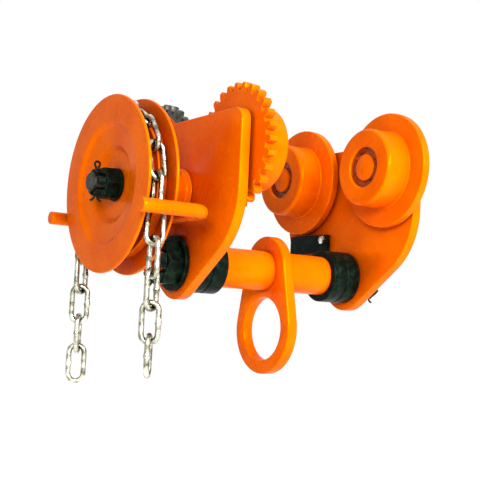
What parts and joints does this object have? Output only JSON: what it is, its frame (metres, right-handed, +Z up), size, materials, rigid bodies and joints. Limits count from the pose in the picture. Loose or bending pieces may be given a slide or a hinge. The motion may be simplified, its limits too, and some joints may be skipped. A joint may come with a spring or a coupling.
{
  "type": "geared beam trolley",
  "caption": "Geared trolley that rolls on a beam's bottom flange, moved by a hand chain, with an eye plate under it for a hoist hook.",
  "frame": {"origin": "on the beam flange's running surface (the bottom of the wheel treads), midway between the side plates and between the wheels", "axes": "+X across the beam, from the hand chain side to the plain wheel side; +Y along the beam; +Z up"},
  "size_m": [0.301, 0.2247, 0.2503],
  "materials": {
    "enamel": "gloss orange enamel over pressed and turned steel",
    "black": "black oxide, slightly oily",
    "zinc": "bright zinc plate with a faint yellow cast",
    "steel": "bright machined steel",
    "bronze": "plain bronze bush"
  },
  "bodies": {
    "trolley": {"drive_side_plate": "enamel", "idler_side_plate": "enamel", "load_shaft": "enamel", "load_spacer_drive_1": "black", "load_spacer_drive_2": "black", "load_spacer_idler_1": "black", "load_spacer_idler_2": "black", "load_washer_drive": "black", "load_nut_drive": "black", "load_split_pin_drive": "zinc", "load_washer_idler": "black", "load_nut_idler": "black", "load_split_pin_idler": "zinc", "drive_shaft_housing": "enamel", "drive_shaft_bush": "bronze", "chain_guide": "enamel", "shaft_keeper": "black", "keeper_bolt": "zinc", "geared_wheel_near_axle": "enamel", "geared_wheel_far_axle": "enamel", "plain_wheel_near_axle": "enamel", "plain_wheel_far_axle": "enamel", "wheel_chain_link_1": "zinc", "wheel_chain_link_2": "zinc", "wheel_chain_link_3": "zinc", "wheel_chain_link_4": "zinc", "wheel_chain_link_5": "zinc", "wheel_chain_link_6": "zinc", "wheel_chain_link_7": "zinc", "wheel_chain_link_8": "zinc", "wheel_chain_link_9": "zinc", "far_chain_link_1": "zinc"},
    "hand_wheel": {"drive_shaft_pinion": "steel", "chain_wheel_outer_disc": "enamel", "chain_wheel_inner_disc": "enamel", "chain_wheel_groove_ring": "enamel", "chain_wheel_washer": "black", "chain_wheel_nut": "black", "chain_wheel_split_pin": "zinc"},
    "geared_near": {"geared_wheel_near": "enamel", "geared_wheel_near_bearing": "steel"},
    "geared_far": {"geared_wheel_far": "enamel", "geared_wheel_far_bearing": "steel"},
    "plain_near": {"plain_wheel_near": "enamel", "plain_wheel_near_bearing": "steel"},
    "plain_far": {"plain_wheel_far": "enamel", "plain_wheel_far_bearing": "steel"},
    "eye_plate": {"suspension_plate": "enamel"},
    "near_link_1": {"near_chain_link_1": "zinc"},
    "near_link_2": {"near_chain_link_2": "zinc"},
    "near_link_3": {"near_chain_link_3": "zinc"},
    "near_link_4": {"near_chain_link_4": "zinc"},
    "near_link_5": {"near_chain_link_5": "zinc"},
    "far_link_2": {"far_chain_link_2": "zinc"},
    "far_link_3": {"far_chain_link_3": "zinc"},
    "far_link_4": {"far_chain_link_4": "zinc"},
    "far_link_5": {"far_chain_link_5": "zinc"},
    "far_link_6": {"far_chain_link_6": "zinc"}
  },
  "joints": [
    {"name": "hand_wheel_spin", "type": "hinge", "parent": "trolley", "child": "hand_wheel", "pos_m": [-0.152, 0, -0.00104], "axis": [1, 0, 0], "continuous": true},
    {"name": "geared_near_roll", "type": "hinge", "parent": "trolley", "child": "geared_near", "pos_m": [-0.068, -0.061, 0.034], "axis": [1, 0, 0], "continuous": true},
    {"name": "geared_far_roll", "type": "hinge", "parent": "trolley", "child": "geared_far", "pos_m": [-0.068, 0.061, 0.034], "axis": [1, 0, 0], "continuous": true},
    {"name": "plain_near_roll", "type": "hinge", "parent": "trolley", "child": "plain_near", "pos_m": [0.068, -0.061, 0.034], "axis": [1, 0, 0], "continuous": true},
    {"name": "plain_far_roll", "type": "hinge", "parent": "trolley", "child": "plain_far", "pos_m": [0.068, 0.061, 0.034], "axis": [1, 0, 0], "continuous": true},
    {"name": "eye_plate_swing", "type": "hinge", "parent": "trolley", "child": "eye_plate", "pos_m": [0, 0, -0.0602], "axis": [1, 0, 0], "range_deg": [-75, 75]},
    {"name": "near_link_1_swing", "type": "hinge", "parent": "trolley", "child": "near_link_1", "pos_m": [-0.152, -0.062, -0.02615], "axis": [0, 1, 0], "range_deg": [-8, 8]},
    {"name": "near_link_2_swing", "type": "hinge", "parent": "near_link_1", "child": "near_link_2", "pos_m": [-0.152, -0.062, -0.05115], "axis": [0.8988, -0.4384, 0], "range_deg": [-20, 20]},
    {"name": "near_link_3_swing", "type": "hinge", "parent": "near_link_2", "child": "near_link_3", "pos_m": [-0.152, -0.062, -0.07615], "axis": [0, -1, 0], "range_deg": [-20, 20]},
    {"name": "near_link_4_swing", "type": "hinge", "parent": "near_link_3", "child": "near_link_4", "pos_m": [-0.152, -0.062, -0.10114], "axis": [-0.8988, -0.4384, 0], "range_deg": [-20, 20]},
    {"name": "near_link_5_swing", "type": "hinge", "parent": "near_link_4", "child": "near_link_5", "pos_m": [-0.152, -0.062, -0.12615], "axis": [-0.788, 0.6157, 0], "range_deg": [-20, 20]},
    {"name": "far_link_2_swing", "type": "hinge", "parent": "trolley", "child": "far_link_2", "pos_m": [-0.152, 0.062, -0.03767], "axis": [1, 0, 0], "range_deg": [-20, 20]},
    {"name": "far_link_3_swing", "type": "hinge", "parent": "far_link_2", "child": "far_link_3", "pos_m": [-0.152, 0.062, -0.06267], "axis": [0.2588, -0.9659, 0], "range_deg": [-20, 20]},
    {"name": "far_link_4_swing", "type": "hinge", "parent": "far_link_3", "child": "far_link_4", "pos_m": [-0.152, 0.062, -0.08767], "axis": [-0.866, -0.5, 0], "range_deg": [-20, 20]},
    {"name": "far_link_5_swing", "type": "hinge", "parent": "far_link_4", "child": "far_link_5", "pos_m": [-0.152, 0.062, -0.11267], "axis": [-0.829, 0.5592, 0], "range_deg": [-20, 20]},
    {"name": "far_link_6_swing", "type": "hinge", "parent": "far_link_5", "child": "far_link_6", "pos_m": [-0.152, 0.062, -0.13767], "axis": [0.5592, 0.829, 0], "range_deg": [-20, 20]}
  ],
  "couplings": [
    {"joint": "geared_near_roll", "follows": "hand_wheel_spin", "ratio": -0.42857},
    {"joint": "geared_far_roll", "follows": "hand_wheel_spin", "ratio": -0.42857}
  ]
}
